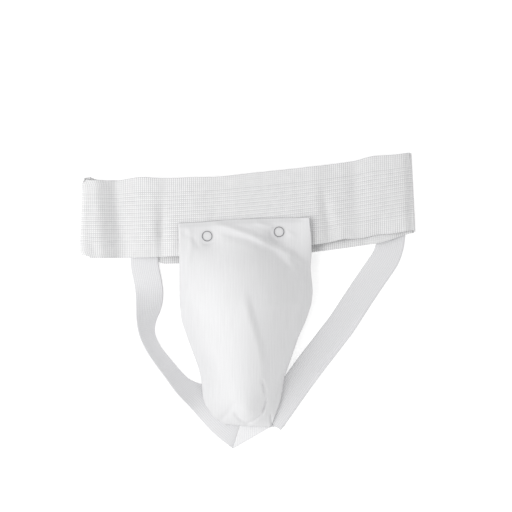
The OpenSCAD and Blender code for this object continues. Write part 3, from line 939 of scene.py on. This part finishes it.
def makeCentreSeam():
    d = seam
    line = smoothLine(d["line"], d["count"], 6)
    on = np.array([(x, y, frontHeight(x, y) + d["lift"]) for x, y in line])
    padded = np.pad(on[:, 2], d["smoothing"] // 2, mode="edge")
    on[:, 2] = np.convolve(padded, np.ones(d["smoothing"]) / d["smoothing"], mode="valid")
    piece = stitches("seam_thread", runningStitches(on, d["stitch"], d["space"]), sewing["radius"])
    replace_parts(piece, "centre_seam")
    return piece


centreSeam = makeCentreSeam()


# the fold under the flap's top edge
hemFold = {"below": 6.6, "sink": 0.5, "wide": 5.0, "high": 0.8, "count": 60}


def makeHem():
    d = hemFold
    low, high = boxOf("flap_hem")
    edge = frontPoints[0]
    line = [(x, np.interp(x, edge[:, 0], edge[:, 1]) - d["below"], (low[2] + high[2]) / 2 - d["sink"])
            for x in np.linspace(low[0] + 1, high[0] - 1, d["count"])]
    piece = sweep("flap_hem_fold", line, d["wide"], d["high"], knit, "flap", sides=20)
    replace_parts(piece, "flap_hem")
    return piece


hem = makeHem()
print("sewing made")


def aroundCup(spokes):
    return (np.arange(spokes) + 0.5) * 2 * math.pi / spokes


def cutVents(shell):
    # rows of round air holes, every other row shifted sideways
    cutter = bmesh.new()
    for row in range(-2, 3):
        for col in range(-1, 2):
            x = col * cup["ventAcross"] + (row % 2) * cup["ventShift"]
            at = onSlope([(x, (row - 0.5) * cup["ventDown"], 45.0)])[0] * 0.001
            made = bmesh.ops.create_cone(cutter, cap_ends=True, segments=28, radius1=cup["ventWide"] / 2000,
                                         radius2=cup["ventWide"] / 2000, depth=0.05)
            bmesh.ops.translate(cutter, verts=made["verts"], vec=Vector(at.tolist()))
    holes = bpy.data.meshes.new("airHoles")
    cutter.to_mesh(holes)
    cutter.free()
    tool = bpy.data.objects.new("airHoles", holes)
    scene.collection.objects.link(tool)
    cut = shell.modifiers.new("holes", "BOOLEAN")
    cut.object = tool
    cut.operation = "DIFFERENCE"
    cut.solver = "EXACT"
    applyModifiers(shell)
    bpy.data.objects.remove(tool)


def makeCup():
    # a smooth moulded shell, thickened inwards
    rings, spokes = cup["rings"], cup["spokes"]
    ox, oy = cupOutline(aroundCup(spokes), 0.0)
    r = np.sin(np.linspace(1, 0.02, rings) * math.pi / 2)[:, None]
    z = cup["base"] + cup["depth"] * (1 - r ** 2) ** cup["power"]
    points = np.stack(np.broadcast_arrays(ox[None] * r, oy[None] * r, z), -1)
    faces = gridFaces(rings, spokes, False, True)
    faces.append(tuple((rings - 1) * spokes + k for k in range(spokes)))
    shell = makeMesh("cup_moulded_shell", onSlope(points), faces, points[..., :2], polyethylene)
    thicken(shell, cup["wall"], -1)
    cutVents(shell)
    shell.data.polygons.foreach_set("use_smooth", [True] * len(shell.data.polygons))
    bpy.context.view_layer.objects.active = shell
    shell.select_set(True)
    bpy.ops.object.shade_smooth_by_angle(angle=math.radians(40))
    shell.select_set(False)
    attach(shell, "cup")
    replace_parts(shell, "cup_shell")


# the cup's soft rim: its profile as reach past the shell's edge and height, and how full it is
rimPad = {"profile": [(-3.3, 1.35), (-3.4, 1.7), (-3.4, 2.3), (-3.1, 2.6), (0.1, 2.6), (0.1, 3.8),
                      (0.28, 3.9), (0.45, 3.7), (0.45, 1.8), (0.1, 1.35)], "spokes": 160, "fill": 0.9}


def makeRim():
    profile, spokes = rimPad["profile"], rimPad["spokes"]
    turn = aroundCup(spokes)
    loops = [np.stack(np.broadcast_arrays(*cupOutline(turn, grow), high), -1) for grow, high in profile]
    uvs = gridUvs(np.arange(len(profile)) * 1.0, turn * 60)[..., ::-1]
    rim = makeMesh("cup_rubber_rim", onSlope(np.array(loops)), gridFaces(len(profile), spokes, True, True),
                   uvs, rubber, "cup")
    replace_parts(rim, "cup_rim_pad")


makeCup()
makeRim()
print("cup made")


# press studs: open prong rings on the flap, and the parts under them in the same metal
studs = {"inset": 0.5, "wireWide": 0.5, "wireHigh": 0.6, "count": 96}


def makeSnaps():
    tilt = math.tan(math.radians(slope["tilt"]))
    turn = np.arange(studs["count"]) * 2 * math.pi / studs["count"]
    for side in ("left", "right"):
        low, high = boxOf(f"snap_ring_{side}")
        middle = (low + high) / 2
        radius = (high[0] - low[0]) / 2 - studs["inset"]
        line = np.stack([middle[0] + radius * np.cos(turn), middle[1] + radius * np.sin(turn),
                         middle[2] + radius * np.sin(turn) * tilt], 1)
        ring = sweep(f"prong_ring_{side}", line, studs["wireWide"], studs["wireHigh"], darkNickel, "flap",
                     sides=16, closed=True)
        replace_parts(ring, f"snap_ring_{side}")
        for part in ("socket", "stud", "backing"):
            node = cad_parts[f"snap_{part}_{side}"]
            node.data.materials.clear()
            node.data.materials.append(nickel)


makeSnaps()
print("press studs made")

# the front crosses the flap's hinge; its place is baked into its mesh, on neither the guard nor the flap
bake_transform(pouchFront)
# floor, light and camera
stageLook = {"floor": "#f7f7f7", "floorDark": "#f4f4f4", "floorLight": "#fafafa", "floorSize": 6.0,
             "glow": 0.34, "world": 0.74, "key": 5.9, "keySize": 0.9, "keyPlace": (-0.78, -0.16, 0.84),
             "viewX": 7.8, "viewY": 40.5, "viewWide": 460.8, "lens": 100.0, "sensor": 36}


def makeStage():
    d = stageLook
    material, tree, shader = newMaterial("mattPaper", d["floor"], Roughness=0.9)
    place = addNode(tree, "ShaderNodeTexCoord")
    fibre = addNode(tree, "ShaderNodeTexNoise", {
        "Vector": place.outputs["Object"], "Scale": 60.0, "Detail": 3.0})
    addNode(tree, "ShaderNodeMix", {
        0: fibre.outputs[0], 6: linearColour(d["floorDark"]), 7: linearColour(d["floorLight"])},
        {2: shader.inputs["Base Color"]}, data_type="RGBA")
    shader.inputs["Emission Color"].default_value = (1, 1, 1, 1)
    shader.inputs["Emission Strength"].default_value = d["glow"]
    mesh = bpy.data.meshes.new("floor")
    bm = bmesh.new()
    bmesh.ops.create_grid(bm, x_segments=4, y_segments=4, size=d["floorSize"])
    bmesh.ops.translate(bm, verts=bm.verts, vec=(0, 0, cadBox[0].z - 0.0002))
    bm.to_mesh(mesh)
    bm.free()
    mesh.materials.append(material)
    floor = bpy.data.objects.new("floor", mesh)
    scene.collection.objects.link(floor)
    world = bpy.data.worlds.new("studio")
    world.use_nodes = True
    world.node_tree.nodes["Background"].inputs[0].default_value = (1, 1, 1, 1)
    world.node_tree.nodes["Background"].inputs[1].default_value = d["world"]
    scene.world = world
    key = bpy.data.lights.new("softKey", "AREA")
    key.size = d["keySize"]
    key.energy = d["key"]
    lamp = bpy.data.objects.new("softKey", key)
    lamp.location = d["keyPlace"]
    lamp.rotation_euler = (-lamp.location).to_track_quat("-Z", "Y").to_euler()
    scene.collection.objects.link(lamp)
    camera = bpy.data.cameras.new("camera")
    camera.lens = d["lens"]
    camera.sensor_width = d["sensor"]
    eye = bpy.data.objects.new("camera", camera)
    eye.location = (d["viewX"] / 1000, d["viewY"] / 1000, d["viewWide"] / 1000 * d["lens"] / d["sensor"])
    scene.collection.objects.link(eye)
    scene.camera = eye
    scene.view_settings.view_transform = "Standard"


makeStage()
print("stage made")
